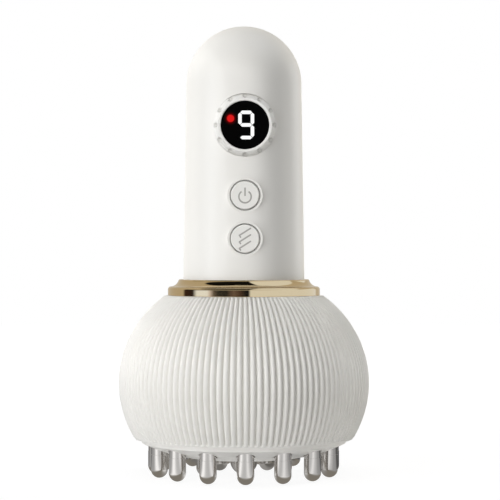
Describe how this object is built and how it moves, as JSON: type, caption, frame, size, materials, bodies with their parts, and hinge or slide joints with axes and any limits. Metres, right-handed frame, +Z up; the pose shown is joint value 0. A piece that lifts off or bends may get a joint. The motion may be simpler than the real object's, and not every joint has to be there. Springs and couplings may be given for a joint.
{
  "type": "back and leg massager",
  "caption": "Hand-held massager with an upright grip, a digit display in a turning ring, push buttons, and a ribbed globe that stands on round-ended steel prongs.",
  "frame": {"origin": "on the axis of the grip, in the plane of the prong tips", "axes": "+Z up along the grip from the prong tips to the round top, -Y to the front with the display and the buttons, +X to the right as seen from the front"},
  "size_m": [0.105, 0.105, 0.188],
  "materials": {
    "ivory_shell": "fine satin moulded plastic",
    "button_cap": "satin moulded plastic",
    "selector_white": "semi-gloss moulded plastic",
    "champagne_gold": "polished champagne gold plating",
    "prong_steel": "polished stainless steel",
    "display_black": "clear glossy black lens",
    "digit_white": "lit translucent segments",
    "lamp_red": "lit translucent lens",
    "icon_grey": "printed infill",
    "screw_steel": "zinc plated",
    "bracket_steel": "powder coated pressed steel",
    "heat_aluminium": "plain rolled sheet",
    "heater_amber": "amber film with etched tracks",
    "felt_pad": "pressed needle felt",
    "board_green": "solder mask",
    "black_plastic": "moulded nylon",
    "natural_plastic": "moulded nylon",
    "seal_rubber": "soft silicone",
    "magnet_grey": "ground ferrite",
    "winding_copper": "varnished copper winding",
    "bush_bronze": "sintered bronze",
    "cell_wrap": "shrink sleeve",
    "wire_red": "soft wire sleeve",
    "wire_black": "soft wire sleeve"
  },
  "bodies": {
    "root": {"handle_front_shell": "ivory_shell", "handle_rear_shell": "ivory_shell", "shell_screws": "screw_steel", "screw_caps": "ivory_shell", "gold_collar": "champagne_gold", "collar_seal": "seal_rubber", "globe_cover": "ivory_shell", "neck_plate": "bracket_steel", "neck_screws": "screw_steel", "base_plate": "ivory_shell", "centre_prong": "prong_steel", "inner_prongs": "prong_steel", "outer_prongs": "prong_steel", "prong_nuts": "screw_steel", "heat_plate": "heat_aluminium", "heater_film": "heater_amber", "heat_sensors": "screw_steel", "insulation_pad": "felt_pad", "motor_bracket": "bracket_steel", "bracket_screws": "screw_steel", "motor_can": "screw_steel", "motor_end_cap": "natural_plastic", "motor_magnets": "magnet_grey", "motor_bushes": "bush_bronze", "motor_screws": "screw_steel", "ring_washer": "seal_rubber", "display_window": "display_black", "digit_segments": "digit_white", "level_lamp": "lamp_red", "display_module": "black_plastic", "display_barrel": "black_plastic", "display_board": "board_green", "display_screws": "screw_steel", "display_ribbon": "heater_amber", "button_guide": "natural_plastic", "switch_bodies": "black_plastic", "main_board": "board_green", "board_components": "black_plastic", "board_screws": "screw_steel", "battery_cell": "cell_wrap", "battery_cradle": "black_plastic", "power_leads": "wire_red", "motor_leads": "wire_black", "heater_leads": "wire_red", "charging_port": "screw_steel", "port_board": "board_green"},
    "power_key": {"power_button": "button_cap", "power_icon": "icon_grey", "power_plunger": "black_plastic"},
    "mode_key": {"mode_button": "button_cap", "mode_icon": "icon_grey", "mode_plunger": "black_plastic"},
    "selector": {"selector_ring": "selector_white", "ring_retainer": "screw_steel", "ring_magnet": "magnet_grey"},
    "rotor": {"motor_shaft": "screw_steel", "motor_rotor": "winding_copper", "eccentric_weight": "bracket_steel"}
  },
  "joints": [
    {"name": "power_press", "type": "slide", "parent": "root", "child": "power_key", "axis": [0, 1, 0], "range_m": [0, 0.0006], "stiffness_N_per_m": 1500},
    {"name": "mode_press", "type": "slide", "parent": "root", "child": "mode_key", "axis": [0, 1, 0], "range_m": [0, 0.0006], "stiffness_N_per_m": 1500},
    {"name": "selector_turn", "type": "hinge", "parent": "root", "child": "selector", "pos_m": [0, -0.0235, 0.1451], "axis": [0, 1, 0], "continuous": true},
    {"name": "rotor_spin", "type": "hinge", "parent": "root", "child": "rotor", "pos_m": [0, 0, 0.05], "axis": [0, 0, 1], "continuous": true}
  ]
}
